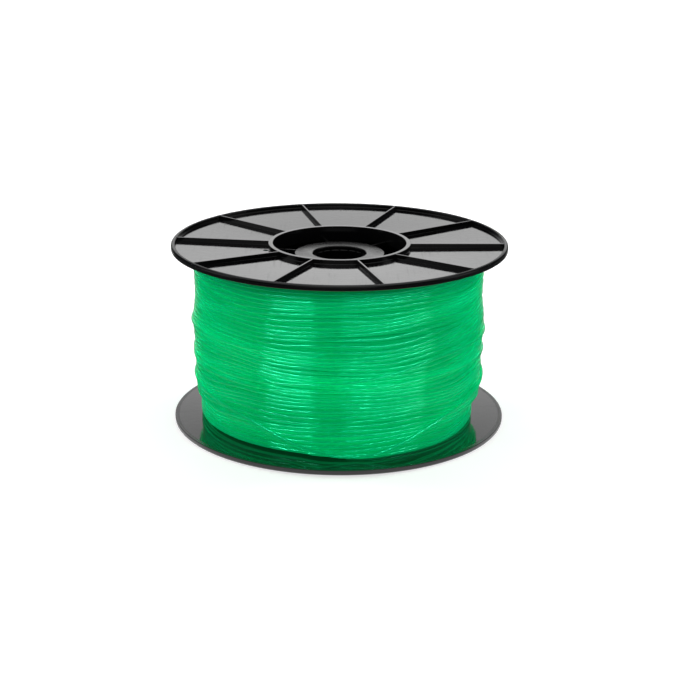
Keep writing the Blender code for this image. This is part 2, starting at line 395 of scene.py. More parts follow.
rib_inner_end = (RECESS_RADIUS + HUB_RING_RADIUS) / 2
rib_outer_end = (RIM_INNER_RADIUS + FLANGE_RADIUS) / 2
rib_foot = floor_depth(rib_inner_end)
rib_top = PLATE_DISH + RIB_SETBACK
rib_side = RIB_THICKNESS / 2
rib_half = [
    (rib_side + RIB_FOOT_FLARE, rib_foot + RIB_FOOT_SINK, 0.0),
    (rib_side + RIB_FOOT_FLARE, rib_foot + RIB_FOOT_OFFSET, 0.0),
    (rib_side, rib_foot + RIB_FOOT_OFFSET, FILLET),
    (rib_side - RIB_DRAFT, rib_top, RIB_TOP_ROUNDING),
]
rib_other_half = [(-side, depth, radius) for side, depth, radius in reversed(rib_half)]
rib_section = [
    (rib_inner_end, side, depth) for side, depth in rounded(rib_half + rib_other_half)
]
rib_run = Vector((rib_outer_end - rib_inner_end, 0.0, -PLATE_DISH))
ribs = spread_round(extruded("ribs", rib_section, rib_run), RIB_COUNT, -RIB_ANGLE)
boolean(lower_flange, ribs, "UNION")
report(lower_flange)

# %% [markdown]
# ## The start hole, and the other flange
#
# The filament's inner end is threaded through a small hole in the plate, just outside the
# barrel. The hole could be part of the plate's faces, but that would disturb the even mesh, so
# a cylinder cuts it. The moulding is then complete, and a copy turned over is the other flange.

# %% Start hole and upper flange
START_HOLE_DIAMETER = 3.2 * MM
START_HOLE_ANGLE = 194.0
START_HOLE_SIDES = 32

hole_place = BARREL_RADIUS + FIT_GAP + START_HOLE_DIAMETER / 2
hole_angle = math.radians(-START_HOLE_ANGLE)
bpy.ops.object.select_all(action="DESELECT")
bpy.ops.mesh.primitive_cylinder_add(
    vertices=START_HOLE_SIDES,
    radius=START_HOLE_DIAMETER / 2,
    depth=PLATE_THICKNESS * 3,
    location=(
        hole_place * math.cos(hole_angle),
        hole_place * math.sin(hole_angle),
        floor_depth(hole_place) + PLATE_THICKNESS / 2,
    ),
)
boolean(lower_flange, bpy.context.object, "DIFFERENCE")
smoothed(lower_flange)
upper_flange = at_other_end(lower_flange, "upper_flange_moulding")
report(upper_flange)

# %% [markdown]
# ## The barrel
#
# The barrel is the tube that the filament is wound on. Only its bore shows, deep in the hub
# recess and between the arms of the inserts. A cylinder with a hole would do, but a plain wall
# that is drawn and spun gets its soft edges from the drawing, like the other round pieces.

# %% Barrel
BARREL_STEPS = 160
BARREL_WALL = 1.6 * MM
barrel_depth = inner_depth(SPIGOT_RADIUS) + FIT_GAP
barrel_section = [
    (BARREL_RADIUS - BARREL_WALL, barrel_depth, SOFT_EDGE),
    (BARREL_RADIUS - BARREL_WALL, SPOOL_WIDTH - barrel_depth, SOFT_EDGE),
    (BARREL_RADIUS, SPOOL_WIDTH - barrel_depth, SOFT_EDGE),
    (BARREL_RADIUS, barrel_depth, SOFT_EDGE),
]
barrel = smoothed(spin_section("barrel_tube", barrel_section, BARREL_STEPS))
report(barrel)

# %% [markdown]
# ## The hub inserts
#
# Each end holds an insert: a flat collar round the spindle hole, a socket behind it, and six
# arms that reach the barrel's bore. Collar and socket are round, so they are turned. The
# collar's hole is rounded over, which gives the fine light line round it. The arms aren't round,
# so each is a bar drawn in side view and pulled to its thickness. All its edges are bevelled
# while it is alone, because after joining they would be hard to tell from the others.

# %% Hub inserts
INSERT_STEPS = 144
INSERT_DEPTH = 7.6 * MM
COLLAR_BORE_RADIUS = 15.8 * MM
COLLAR_WIDTH = 11.0 * MM
COLLAR_THICKNESS = 2.0 * MM
BORE_ROUNDING = 0.8 * MM
SOCKET_WALL = 2.0 * MM
SOCKET_LENGTH = 16.0 * MM
ARM_COUNT = 6
ARM_THICKNESS = 1.5 * MM
ARM_LENGTH = 16.0 * MM
ARM_SETBACK = 0.3 * MM
ARM_BEVEL = 0.25 * MM
ARM_ANGLE = 44.5

collar_back = INSERT_DEPTH + COLLAR_THICKNESS
socket_bore = SPINDLE_RADIUS + FIT_GAP
socket_radius = socket_bore + SOCKET_WALL
collar_radius = COLLAR_BORE_RADIUS + COLLAR_WIDTH
insert_section = [
    (COLLAR_BORE_RADIUS, INSERT_DEPTH, BORE_ROUNDING),
    (COLLAR_BORE_RADIUS, collar_back, 0.0),
    (socket_bore, collar_back, 0.0),
    (socket_bore, collar_back + SOCKET_LENGTH, SOFT_EDGE),
    (socket_radius, collar_back + SOCKET_LENGTH, SOFT_EDGE),
    (socket_radius, collar_back, FILLET),
    (collar_radius, collar_back, SOFT_EDGE),
    (collar_radius, INSERT_DEPTH, FILLET),
]
lower_insert = spin_section("lower_hub_insert_moulding", insert_section, INSERT_STEPS)

arm_root = (socket_bore + socket_radius) / 2
arm_top = INSERT_DEPTH + ARM_SETBACK
arm_foot = INSERT_DEPTH + ARM_LENGTH
arm_outline = [
    (arm_root, arm_top),
    (RECESS_RADIUS - FIT_GAP, arm_top),
    (RECESS_RADIUS - FIT_GAP, spigot_end + FIT_GAP),
    (SPIGOT_RADIUS, spigot_end + FIT_GAP),
    (SPIGOT_RADIUS, arm_foot),
    (arm_root, arm_foot),
]
arm_points = [(reach, -ARM_THICKNESS / 2, depth) for reach, depth in arm_outline]
arm = extruded("arms", arm_points, Vector((0.0, ARM_THICKNESS, 0.0)))
bpy.ops.object.mode_set(mode="EDIT")
bpy.ops.mesh.select_all(action="SELECT")
bpy.ops.mesh.bevel(offset=ARM_BEVEL, segments=2, affect="EDGES")
bpy.ops.object.mode_set(mode="OBJECT")
boolean(lower_insert, spread_round(arm, ARM_COUNT, -ARM_ANGLE), "UNION")
smoothed(lower_insert)
upper_insert = at_other_end(lower_insert, "upper_hub_insert_moulding")
report(upper_insert)

# %% [markdown]
# ## The spindle tube
#
# The tube keeps the two inserts apart and carries the holder's rod. Its end is a thin ledge
# behind the collar's hole, which catches the light in short arcs, so it is notched all round.
# The notches could be pushed in face by face. A bar right across the tube cuts two of them at
# once and keeps them alike, so nine bars at each end do it.

# %% Spindle tube
SPINDLE_BORE_RADIUS = 15.2 * MM
SPINDLE_ROUNDING = 0.6 * MM
NOTCH_PAIRS = 9
NOTCH_WIDTH = 1.1 * MM
NOTCH_DEPTH = 1.2 * MM
tube_depth = collar_back + FIT_GAP
tube_section = [
    (SPINDLE_BORE_RADIUS, tube_depth, SPINDLE_ROUNDING),
    (SPINDLE_BORE_RADIUS, SPOOL_WIDTH - tube_depth, SPINDLE_ROUNDING),
    (SPINDLE_RADIUS, SPOOL_WIDTH - tube_depth, SOFT_EDGE),
    (SPINDLE_RADIUS, tube_depth, SOFT_EDGE),
]
spindle = spin_section("spindle_tube_notched", tube_section, INSERT_STEPS)
for end, end_height in (("lower", tube_depth), ("upper", SPOOL_WIDTH - tube_depth)):
    corners = [
        (-SPINDLE_RADIUS * 2, -NOTCH_WIDTH / 2, end_height - NOTCH_DEPTH),
        (-SPINDLE_RADIUS * 2, NOTCH_WIDTH / 2, end_height - NOTCH_DEPTH),
        (-SPINDLE_RADIUS * 2, NOTCH_WIDTH / 2, end_height + NOTCH_DEPTH),
        (-SPINDLE_RADIUS * 2, -NOTCH_WIDTH / 2, end_height + NOTCH_DEPTH),
    ]
    for i in range(NOTCH_PAIRS):
        bar = extruded(f"{end}_notch", corners, Vector((SPINDLE_RADIUS * 4, 0.0, 0.0)))
        bar.rotation_euler.z = math.pi * (i + 0.5) / NOTCH_PAIRS
        boolean(spindle, bar, "DIFFERENCE")
smoothed(spindle)
report(spindle)

# %% [markdown]
# ## The shape of the winding
#
# The winding isn't a true cylinder. The last layers stop short of the lower flange, which
# leaves a low shoulder at the sides and the back, and higher up the outside swells and draws
# in by a millimetre. The whole winding also leans a little to the left. A plain cylinder would
# give straight outlines, so two short lists say how it departs from one, and every layer
# follows them. SWELLS holds heights and outside radii. SHOULDERS holds the angle round the spool
# in degrees, the middle height of the shoulder there and how far it steps in. Both lists are in
# millimetres.

# %% Winding outline
STRAND_RADIUS = 0.875 * MM
STRAND = 2 * STRAND_RADIUS
SWELLS = [
    (3.0, 86.0),
    (21.0, 86.1),
    (27.0, 86.4),
    (33.0, 86.4),
    (43.0, 86.7),
    (50.0, 86.7),
    (56.0, 87.3),
    (61.0, 87.7),
    (66.0, 87.6),
    (72.0, 86.9),
    (78.0, 86.2),
    (92.0, 86.6),
    (107.0, 86.3),
]
SHOULDERS = [
    (-180, 20.0, 2.3),
    (-150, 19.0, 2.8),
    (-131, 18.5, 3.3),
    (-120, 16.0, 3.6),
    (-111, 11.0, 3.7),
    (-100, 6.0, 3.0),
    (-90, 4.6, 2.4),
    (-80, 4.2, 2.2),
    (-72, 5.0, 2.2),
    (-62, 9.0, 2.4),
    (-48, 14.5, 2.8),
    (-20, 18.5, 3.8),
    (0, 17.5, 4.3),
    (90, 17.0, 3.4),
    (180, 20.0, 2.3),
]
SHOULDER_WIDTH = 4.0 * MM
LEAN = 0.35 * MM


def outside(height, angle):
    """Outside radius of the winding at a height and an angle in radians."""
    swell = np.interp(np.asarray(height) / MM, *zip(*SWELLS)) * MM - LEAN * np.cos(angle)
    degrees = (np.degrees(angle) + 180) % 360 - 180
    around, middles, drops = zip(*SHOULDERS)
    middle = np.interp(degrees, around, middles) * MM
    drop = np.interp(degrees, around, drops) * MM
    share = np.clip((middle - height) / SHOULDER_WIDTH + 0.5, 0, 1)
    return swell - drop * share * share * (3 - 2 * share)


narrow, wide = (f(radius for _, radius in SWELLS) for f in (min, max))
print(f"winding: {2 * narrow:.1f} to {2 * wide:.1f} mm across above its shoulder")

# %% [markdown]
# ## The route of a layer
#
# A machine lays the filament in layers, one turn beside the next, to one flange and back. The
# turns never lie quite evenly, so small gaps open and close round the spool. A Screw modifier
# would make even turns only, so the route is computed. Slow waves round the spool say where the
# gaps are, their sum is made the same at every angle, and each turn is laid a strand and its
# gap above the turn before, so no turn cuts into its neighbour. The first turn lies flat on the
# flange and steps up once. The route also wobbles in and out by about a fifth of a millimetre,
# which breaks up the highlights. The flanges dish, so a layer is as high as they leave room for
# where the winding is narrowest, on the right.

# %% Routes of the layers
NARROW_SIDE = 0.0
TIGHT = 1.79 * MM
FLANGE_GAP = 0.15 * MM
DIP_TURNS = 0.04
GAP_WAVES = (1, 2, 3, 4, 6)
GAP_DRIFT = 0.22
GAP_WAVE_FADE = 0.4
GAP_CONTRAST = 2.5
STEP_START = 0.12
STEP_RUN = 0.12
WOBBLE = 0.18 * MM
WOBBLE_WAVES = (0.37, 0.61, 1.43, 2.61)


def wound_heights(turns, points, low, high, seed):
    """Heights along a layer, from its first turn at low to its last at high."""
    draw = np.random.default_rng(seed)
    t = np.arange(turns * points) / points
    waves = np.zeros_like(t)
    for count in GAP_WAVES:
        drift, phase = draw.uniform(-GAP_DRIFT, GAP_DRIFT), draw.uniform(0.0, math.tau)
        waves += np.sin(math.tau * (count + drift) * t + phase) / count**GAP_WAVE_FADE
    gaps = ((waves - waves.min()) / np.ptp(waves)) ** GAP_CONTRAST
    gaps *= np.clip(t, 0, 1) * np.clip(turns - 1 - t, 0, 1)
    gaps = gaps.reshape(turns, points)
    gaps *= (high - low - TIGHT * turns) / gaps.sum(axis=0)
    step_up = np.clip((t[:points] - STEP_START) / STEP_RUN, 0, 1)
    rises = np.vstack([TIGHT * step_up**2 * (3 - 2 * step_up), TIGHT + gaps[:-1]])
    return low + np.cumsum(rises, axis=0).ravel()


def layer_route(turns, points, depth, seed, first_angle, way):
    """Route of one layer, a number of strands below the outside. Its ends dip inwards."""
    radius = outside(0.0, NARROW_SIDE) - (depth + 0.5) * STRAND
    low = inner_depth(radius) + STRAND_RADIUS + FLANGE_GAP
    high = SPOOL_WIDTH - inner_depth(radius) - STRAND_RADIUS - FLANGE_GAP
    heights = wound_heights(turns, points, low, high, seed)
    t = np.arange(turns * points) / points
    angles = math.radians(first_angle) + way * math.tau * t
    from_end = np.minimum(t, t[-1] - t) / DIP_TURNS
    dip = STRAND * (1 - np.clip(from_end, 0, 1)) ** 2
    wobble = sum(np.sin(math.tau * wave * t + seed * wave) for wave in WOBBLE_WAVES)
    wobble = WOBBLE * (wobble / len(WOBBLE_WAVES) - 0.5)
    radii = outside(heights, angles) - (depth + 0.5) * STRAND - dip + wobble
    return np.column_stack([radii * np.cos(angles), radii * np.sin(angles), heights])


outer_route = layer_route(turns=39, points=108, depth=0.0, seed=11, first_angle=-87.0, way=1)
under_route = layer_route(turns=46, points=84, depth=1.0, seed=5, first_angle=53.0, way=-1)
print(len(outer_route), "and", len(under_route), "points")

# %% [markdown]
# ## The strands
#
# A strand is one long round thread. A circle could be swept along the route face by face. A
# curve does it by itself: its bevel gives it a round section, and turning it into a mesh fixes
# the result. Two layers are made. The outer one is what shows, and the one beneath, which winds
# the other way, shows in its gaps.

# %% Strands of two layers


def strand(name, route, sides):
    """A round tube along a route, turned into a mesh. A bevel has 2 * resolution + 4 sides."""
    curve = bpy.data.curves.new(name, "CURVE")
    curve.dimensions = "3D"
    spline = curve.splines.new("POLY")
    spline.points.add(len(route) - 1)
    spline.points.foreach_set("co", np.column_stack([route, np.ones(len(route))]).ravel())
    curve.bevel_depth = STRAND_RADIUS
    curve.bevel_resolution = sides // 2 - 2
    curve.use_fill_caps = True
    obj = bpy.data.objects.new(name, curve)
    bpy.context.scene.collection.objects.link(obj)
    only(obj)
    bpy.ops.object.convert(target="MESH")
    bpy.ops.object.shade_smooth()
    obj = bpy.context.object
    length = np.linalg.norm(np.diff(route, axis=0), axis=1).sum()
    print(f"{name}: {length:.2f} m, {len(obj.data.polygons)} faces")
    return obj


outer_layer = strand("outer_turns", outer_route, sides=10)
under_layer = strand("under_turns", under_route, sides=8)

# %% [markdown]
# ## The last turns
#
# The last of the filament was wound by hand or pulled loose, so it crosses the neat layer at an
# angle. It comes down on the left, touches the lower flange in front, climbs away on the right
# and goes round three times more, rising. It could be drawn as a free curve, but it has to lie
# on the layer everywhere. So its route is a list of angles in degrees and heights in
# millimetres, joined smoothly, and the winding's shape gives the radius. Where it runs along the
# turns it nests in the groove between two of them. It is the same strand as the outer layer, so
# the two are joined into one piece.

# %% Last turns
LAST_TURNS = [
    (-215, 30.0),
    (-175, 30.5),
    (-150, 28.5),
    (-131, 24.6),
    (-120, 20.2),
    (-111, 14.8),
    (-102, 10.3),
    (-93, 7.0),
    (-87, 6.0),
    (-82, 5.8),
    (-73, 8.0),
    (-63, 13.2),
    (-49, 20.2),
    (-20, 28.0),
    (40, 34.0),
    (130, 40.0),
    (180, 43.0),
    (215, 43.0),
    (256, 43.9),
    (282, 46.6),
    (310, 48.0),
    (360, 46.5),
    (450, 45.5),
    (540, 46.5),
    (610, 47.8),
    (642, 52.0),
    (653, 54.9),
    (664, 58.2),
    (676, 59.4),
    (720, 58.5),
    (810, 60.0),
    (900, 63.5),
    (950, 65.5),
    (990, 66.0),
]
LAST_POINTS_PER_TURN = 120
LAST_DIP_ANGLE = 20.0
LAST_SEAT = 0.97 * STRAND_RADIUS
NEST_DEPTH = 1.0 * MM
STEEP = 0.12


def smooth_through(places, spacing):
    """Even steps along a smooth curve through (position, value) pairs."""
    x, y = np.array(places, float).T
    slope = np.gradient(y, x)
    at = np.arange(x[0], x[-1], spacing)
    i = np.clip(np.searchsorted(x, at, "right") - 1, 0, len(x) - 2)
    width = x[i + 1] - x[i]
    u = (at - x[i]) / width
    start = (1 + 2 * u) * (1 - u) ** 2 * y[i] + u * (1 - u) ** 2 * width * slope[i]
    end = u**2 * (3 - 2 * u) * y[i + 1] + u**2 * (u - 1) * width * slope[i + 1]
    return at, start + end


degrees, heights = smooth_through(LAST_TURNS, 360.0 / LAST_POINTS_PER_TURN)
heights = heights * MM
from_end = np.minimum(degrees - degrees[0], degrees[-1] - degrees)
dip = 2 * STRAND * (1 - np.clip(from_end / LAST_DIP_ANGLE, 0, 1)) ** 2
angles = np.radians(degrees)
climb = np.abs(np.gradient(heights, angles)) / outside(heights, angles)
nest = NEST_DEPTH * np.clip(1 - climb / STEEP, 0, 1)
radii = outside(heights, angles) + LAST_SEAT - dip - nest
last_route = np.column_stack([radii * np.cos(angles), radii * np.sin(angles), heights])
last_turns = strand("last_turns", last_route, sides=10)
only(outer_layer)
last_turns.select_set(True)
bpy.ops.object.join()
report(outer_layer)

# %% [markdown]
# ## The core of the winding
#
# Under the two layers lie many more, which nobody sees. They could be strands as well, at a
# great cost in faces, so the winding is drawn there as one turned ring. Its outside is fluted
# like the turns of a third layer, so that a gap in the strands never shows a plain wall. A
# turned ring is the same all round, so it follows the winding's narrowest side and comes out
# nowhere.

# %% Fluted core
CORE_STEPS = 144
FLUTE_PITCH = 1.95 * MM
FLUTE_DEPTH = 0.35 * MM
CORE_SINK = 2.1 * STRAND
FLUTE_SHARES = (1.0, 0.75, 0.5, 0.25)

core_bore = BARREL_RADIUS + FIT_GAP
core_edge = float(outside(0.0, NARROW_SIDE)) - CORE_SINK
core_low = inner_depth(core_edge) + FIT_GAP
core_high = SPOOL_WIDTH - core_low
flutes = int((core_high - core_low) / FLUTE_PITCH)
core_section = [
    (core_bore, inner_depth(core_bore) + FIT_GAP, 0.0),
    (core_bore, SPOOL_WIDTH - inner_depth(core_bore) - FIT_GAP, 0.0),
]
for i in range(flutes, 0, -1):
    for share in FLUTE_SHARES:
        height = core_low + (core_high - core_low) * (i - 1 + share) / flutes
        swell = FLUTE_DEPTH * math.sin(math.pi * share)
        edge = float(outside(height, NARROW_SIDE)) - CORE_SINK + swell
        core_section.append((edge, height, 0.0))
core_section.append((core_edge, core_low, 0.0))
core = smoothed(spin_section("core_turns", core_section, CORE_STEPS))
report(core)

# %% [markdown]
# ## Materials: small helpers
#
# Every finish is made of nodes that read Object coordinates, the real place in metres, so a
# pattern keeps its real scale. Nodes could be placed and linked one by one in the Shader
# editor. Here small helpers do it: they add a node with its settings, a noise pattern, a sum or
# product, the distance from the spool's axis and so on, and hand on what comes out of it.

# %% Node helpers


def new_material(name):
    """A material with its node tree and its Principled shader."""
    material = bpy.data.materials.new(name)
    material.use_nodes = True
    return material, material.node_tree, material.node_tree.nodes["Principled BSDF"]


def add_node(tree, kind, links=(), **settings):
    """A node with settings. Each link is (input name or number, output socket)."""
    node = tree.nodes.new(kind)
    for key, value in settings.items():
        setattr(node, key, value)
    for name, socket in links:
        tree.links.new(socket, node.inputs[name])
    return node


def place(tree, stretch=(1.0, 1.0, 1.0)):
    """The place on the object in metres, stretched along an axis if need be."""
    where = add_node(tree, "ShaderNodeTexCoord").outputs["Object"]
    mapping = add_node(tree, "ShaderNodeMapping", [("Vector", where)])
    mapping.inputs["Scale"].default_value = stretch
    return mapping.outputs["Vector"]


def noise(tree, per_metre, detail=2.0, stretch=(1.0, 1.0, 1.0)):
    """A cloudy pattern with a value from 0 to 1."""
    node = add_node(tree, "ShaderNodeTexNoise", [("Vector", place(tree, stretch))])
    node.inputs["Scale"].default_value = per_metre
    node.inputs["Detail"].default_value = detail
    return node.outputs["Fac"]


def spread(tree, value, low=0.0, high=1.0, start=0.3, end=0.7):
    """Runs from low to high while the value runs from start to end, and no further."""
    node = add_node(tree, "ShaderNodeMapRange", [("Value", value)])
    node.inputs["From Min"].default_value = start
    node.inputs["From Max"].default_value = end
    node.inputs["To Min"].default_value = low
    node.inputs["To Max"].default_value = high
    return node.outputs["Result"]


def tint(tree, value, dark, light):
    """A colour between dark and light."""
    node = add_node(tree, "ShaderNodeMix", [("Factor", value)], data_type="RGBA")
    node.inputs["A"].default_value = (*dark, 1.0)
    node.inputs["B"].default_value = (*light, 1.0)
    return node.outputs["Result"]


def bump(tree, height, distance):
    """A normal from a height pattern. The distance is the pattern's real depth."""
    node = add_node(tree, "ShaderNodeBump", [("Height", height)])
    node.inputs["Distance"].default_value = distance
    return node.outputs["Normal"]


def combined(tree, operation, *values):
    """One Math node: the sum, product or larger of the values, and so on."""
    node = add_node(tree, "ShaderNodeMath", enumerate(values), operation=operation)
    return node.outputs[0]


def from_axis(tree):
    """Distance from the spool's axis in metres."""
    beside = [("Vector", place(tree, (1.0, 1.0, 0.0)))]
    return add_node(tree, "ShaderNodeVectorMath", beside, operation="LENGTH").outputs["Value"]


def height_of(tree, vector):
    """The upright part of a vector."""
    return add_node(tree, "ShaderNodeSeparateXYZ", [("Vector", vector)]).outputs["Z"]


# %% [markdown]
# ## Glossy black plastic
#
# The flanges are polished black styrene. Polish shows as a clear but not quite sharp mirror:
# the pocket floors go pale grey because they mirror the white room at a grazing angle. A grey
# colour would look right from one side only, so the plastic stays black and the gloss does the
# work. A slow noise varies shade and gloss as handling does, stretched noise gives hairline
# scratches, and a fine one the faint orange peel of a moulding. The top of each rim is duller,
# scuffed by the tables and spools that it has stood on.

# %% Glossy plastic
SCUFF = 0.22
SCUFF_INNER_EDGE = (97.3 * MM, 97.6 * MM)
SCUFF_OUTER_EDGE = (99.0 * MM, 99.8 * MM)

gloss, tree, shader = new_material("glossy_black_plastic")
cloud = noise(tree, per_metre=45.0, detail=3.0)
hair = noise(tree, per_metre=900.0, stretch=(1.0, 0.04, 0.2))
peel = noise(tree, per_metre=260.0)
shade = tint(tree, spread(tree, cloud), (0.0016, 0.0016, 0.0018), (0.004, 0.004, 0.0044))
reach = from_axis(tree)
scuffed = combined(
    tree,
    "MULTIPLY",
    spread(tree, reach, 0.0, SCUFF, *SCUFF_INNER_EDGE),
    spread(tree, reach, 1.0, 0.2, *SCUFF_OUTER_EDGE),
)
polish = combined(
    tree,
    "ADD",
    spread(tree, cloud, 0.06, 0.11),
    spread(tree, hair, 0.0, 0.07, start=0.55, end=0.75),
)
tree.links.new(shade, shader.inputs["Base Color"])
tree.links.new(combined(tree, "ADD", polish, scuffed), shader.inputs["Roughness"])
tree.links.new(bump(tree, peel, distance=0.02 * MM), shader.inputs["Normal"])
shader.inputs["IOR"].default_value = 1.56
print(gloss.name, "has", len(tree.nodes), "nodes")

# %% [markdown]
# ## Satin black plastic
#
# The inserts, the tube and the barrel come from tools that were only ground, so they are duller
# than the flanges. The gloss plastic could be used again with more roughness, but a ground tool
# leaves its own mark: a fine grain that breaks up the reflection.

# %% Satin plastic
satin, tree, shader = new_material("satin_black_plastic")
cloud = noise(tree, per_metre=80.0, detail=3.0)
grain = noise(tree, per_metre=2600.0)
shade = tint(tree, spread(tree, cloud), (0.0008, 0.0008, 0.0009), (0.002, 0.002, 0.0022))
tree.links.new(shade, shader.inputs["Base Color"])
tree.links.new(spread(tree, cloud, 0.17, 0.26), shader.inputs["Roughness"])
tree.links.new(bump(tree, grain, distance=0.008 * MM), shader.inputs["Normal"])
shader.inputs["IOR"].default_value = 1.46
print(satin.name, "has", len(tree.nodes), "nodes")

# %% [markdown]
# ## Translucent green filament
#
# The filament is clear plastic with a strong green dye. Light enters a strand, wanders through
# it and its neighbours and comes out green. Glass would have to follow every ray through many
# layers, so the shader scatters the light under the surface instead, with a clear highlight
# along each strand that the dye tints. The pattern is stretched along the turns, because
# pulling leaves long faint streaks.
#
# A real strand also passes light on to the next, so the grooves between strands are never dark.
# That light is painted in: the underside of a strand gives off a little green glow of its own.
# The painted glow fades in the inner layers and below the upper flange, which is painted shade
# where no light gets in. Each of these lists holds two strengths, and where one begins to run
# into the other and ends.

# %% Green filament
PAINTED_GLOW_BY_NORMAL = (0.72, 0.15, -1.0, -0.5)
PAINTED_GLOW_BY_RADIUS = (0.0, 1.0, 60 * MM, 80 * MM)
PAINTED_SHADE_BY_HEIGHT = (1.0, 0.3, 93 * MM, 102 * MM)

filament, tree, shader = new_material("translucent_green_filament")
streaks = noise(tree, per_metre=20.0, detail=3.0, stretch=(1.0, 1.0, 22.0))
fine = noise(tree, per_metre=600.0, stretch=(0.2, 0.2, 1.0))
shade = tint(tree, spread(tree, streaks), (0.0, 0.195, 0.088), (0.0, 0.235, 0.115))
tree.links.new(shade, shader.inputs["Base Color"])
tree.links.new(spread(tree, streaks, 0.08, 0.12), shader.inputs["Roughness"])
tree.links.new(bump(tree, fine, distance=0.004 * MM), shader.inputs["Normal"])
shader.inputs["IOR"].default_value = 1.48
shader.inputs["Specular IOR Level"].default_value = 0.32
shader.inputs["Specular Tint"].default_value = (0.04, 1.0, 0.58, 1.0)
shader.subsurface_method = "BURLEY"
shader.inputs["Subsurface Weight"].default_value = 0.9
shader.inputs["Subsurface Radius"].default_value = (0.3, 1.0, 0.6)
shader.inputs["Subsurface Scale"].default_value = 18.0 * MM

# Painted glow on the strands' undersides, with painted shade inside the winding and below the
# upper flange.
facing = add_node(tree, "ShaderNodeNewGeometry").outputs["Normal"]
painted_underside_glow = spread(tree, height_of(tree, facing), *PAINTED_GLOW_BY_NORMAL)
painted_glow_near_outside = spread(tree, from_axis(tree), *PAINTED_GLOW_BY_RADIUS)
painted_shade_below_flange = spread(tree, height_of(tree, place(tree)), *PAINTED_SHADE_BY_HEIGHT)
painted_glow_reach = combined(tree, "MULTIPLY", painted_glow_near_outside, painted_shade_below_flange)
tree.links.new(combined(tree, "MULTIPLY", painted_underside_glow, painted_glow_reach), shader.inputs["Emission Strength"])
shader.inputs["Emission Color"].default_value = (0.0, 1.0, 0.29, 1.0)
print(filament.name, "has", len(tree.nodes), "nodes")

# %% [markdown]
# ## Dressing the pieces
#
# Each piece gets its finish, rides on the part's one body and stands for the solid that it
# refines. The list also names a material slot for each piece, which nothing here reads. Each
# step could have done this for its own piece, but one list shows at a glance that no solid is
# left out.

# %% Materials and bodies
DRESSING = [
    (lower_flange, gloss, "lower_flange", "spool_plastic"),
    (upper_flange, gloss, "upper_flange", "spool_plastic"),
    (barrel, satin, "barrel", "spool_plastic"),
    (lower_insert, satin, "lower_hub_insert", "spool_plastic"),
    (upper_insert, satin, "upper_hub_insert", "spool_plastic"),
    (spindle, satin, "spindle_tube", "spool_plastic"),
    (core, filament, "filament_inner_layers", "filament"),
    (under_layer, filament, "filament_inner_layers", "filament"),
    (outer_layer, filament, "filament_outer_layer", "filament"),
]
for piece, finish, node, slot in DRESSING:
    piece.data.materials.clear()
    piece.data.materials.append(finish)
    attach(piece, "root")
    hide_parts(node)
print(len(DRESSING), "pieces dressed")

# %% [markdown]
# ## The floor
#
# The spool stands on a pale floor that runs out to a white backdrop. Brighter lamps would wash
# the spool out, so the floor adds a little white of its own for the camera: enough to be white
# far out, and little enough near the spool to keep its soft shadow. Glossy surfaces see two
# pools of light painted on the floor instead, one in front and one behind. Under the spool,
# where no light gets in, the glow and the pools fade out: a painted shadow. Each list holds two
# strengths, and the distances in metres where one begins to run into the other and ends.

# %% Floor
FLOOR_SIZE = 8.0
FLOOR_DROP = 0.1 * MM
FLOOR_GLOW = (0.58, 1.0, 0.40, 1.0)
PAINTED_SHADOW_UNDER_SPOOL = (0.03, 1.0, 0.06, 0.10)
FRONT_PAINTED_POOL = (1.15, 0.06, 0.13, 0.21)
FRONT_PAINTED_POOL_CENTRE = (0.0, -0.15, 0.0)
BACK_PAINTED_POOL = (0.45, 0.0, 0.22, 0.34)
BACK_PAINTED_POOL_CENTRE = (0.0, 0.45, 0.0)


def distance_from(tree, point):
    """Distance from a point in metres."""
    node = add_node(tree, "ShaderNodeVectorMath", [(0, place(tree))], operation="DISTANCE")
    node.inputs[1].default_value = point
    return node.outputs["Value"]


def seen_in_gloss(tree, rays):
    """One for a ray that a glossy surface mirrors or that passes through a clear one."""
    glossy, clear = rays.outputs["Is Glossy Ray"], rays.outputs["Is Transmission Ray"]
    return combined(tree, "MAXIMUM", glossy, clear)


bpy.ops.object.select_all(action="DESELECT")
bpy.ops.mesh.primitive_plane_add(size=FLOOR_SIZE, location=(0, 0, -FLOOR_DROP))
floor = bpy.context.object
floor.name = "floor"
bpy.ops.object.transform_apply(location=True, rotation=True, scale=True)

paper, tree, shader = new_material("pale_floor")
speck = spread(tree, noise(tree, per_metre=30.0))
shade = tint(tree, speck, (0.58, 0.58, 0.58), (0.61, 0.61, 0.61))
tree.links.new(shade, shader.inputs["Base Color"])
shader.inputs["Roughness"].default_value = 0.9
shader.inputs["Specular IOR Level"].default_value = 0.0

rays = add_node(tree, "ShaderNodeLightPath")
from_spool = distance_from(tree, (0.0, 0.0, 0.0))
# Painted shadow: the floor's glow and pools fade out under the spool.
outside_painted_shadow = spread(tree, from_spool, *PAINTED_SHADOW_UNDER_SPOOL)
seen = combined(
    tree, "MULTIPLY", rays.outputs["Is Camera Ray"], spread(tree, from_spool, *FLOOR_GLOW)
)
glow = combined(tree, "MULTIPLY", seen, outside_painted_shadow)
tree.links.new(glow, shader.inputs["Emission Strength"])
shader.inputs["Emission Color"].default_value = (1.0, 1.0, 1.0, 1.0)

